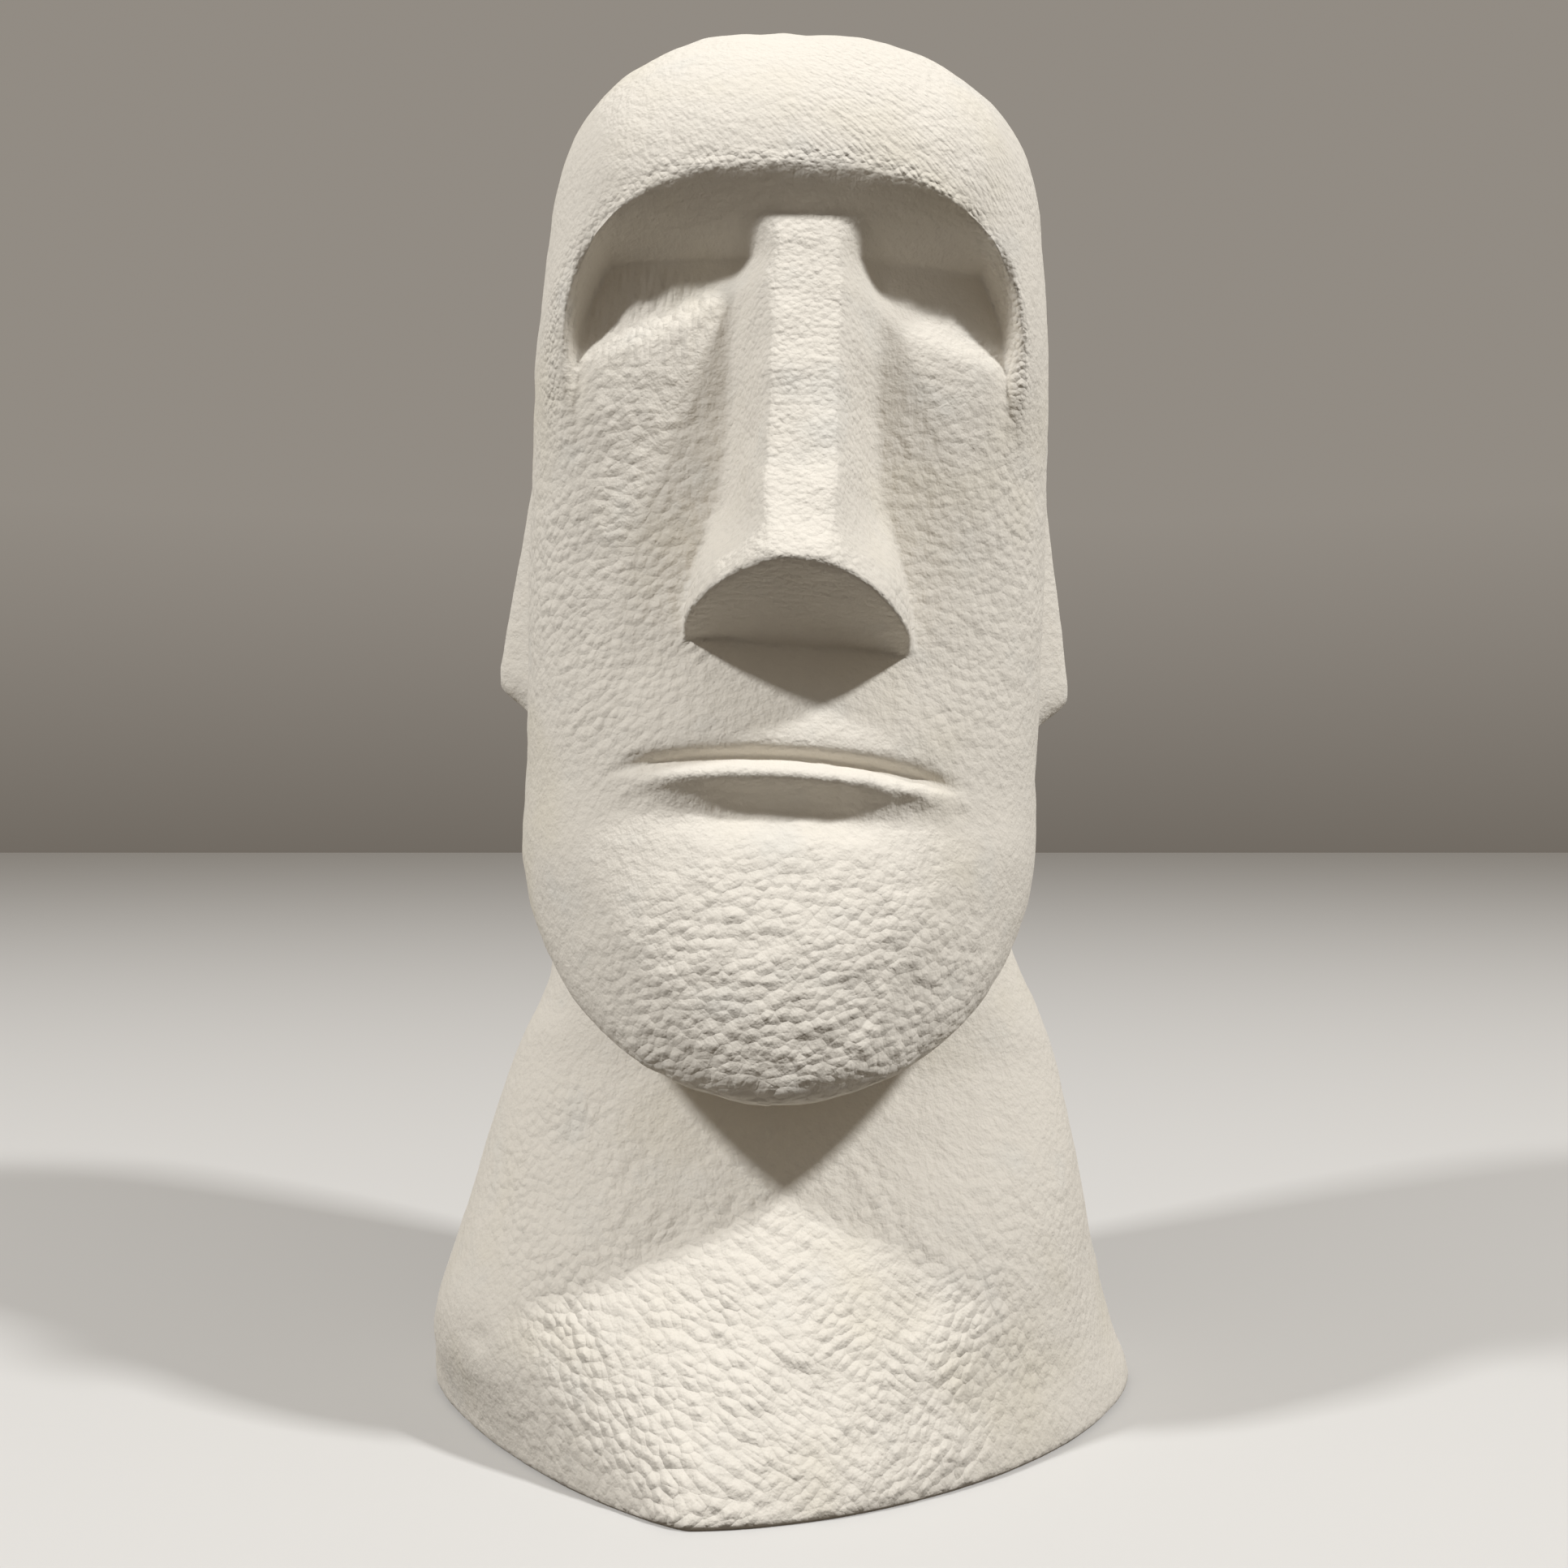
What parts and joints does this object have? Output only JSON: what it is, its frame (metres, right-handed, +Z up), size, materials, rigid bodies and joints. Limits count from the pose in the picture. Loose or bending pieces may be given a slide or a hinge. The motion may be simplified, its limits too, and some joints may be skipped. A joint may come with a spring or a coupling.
{
  "type": "moai statue",
  "caption": "Tall carved stone-style head on a flared neck and foot, cast in off-white plaster, standing on its flat underside",
  "frame": {"origin": "middle of the bounding box, on the underside plane", "axes": "+Z up, the face looks toward -Y, +X is to the viewer's right"},
  "size_m": [0.3134, 0.2774, 0.6],
  "materials": {
    "plaster": "matte, hand-tooled cast plaster with pits and faint warm blotches"
  },
  "bodies": {
    "root": {"moai_statue": "plaster"}
  },
  "joints": []
}
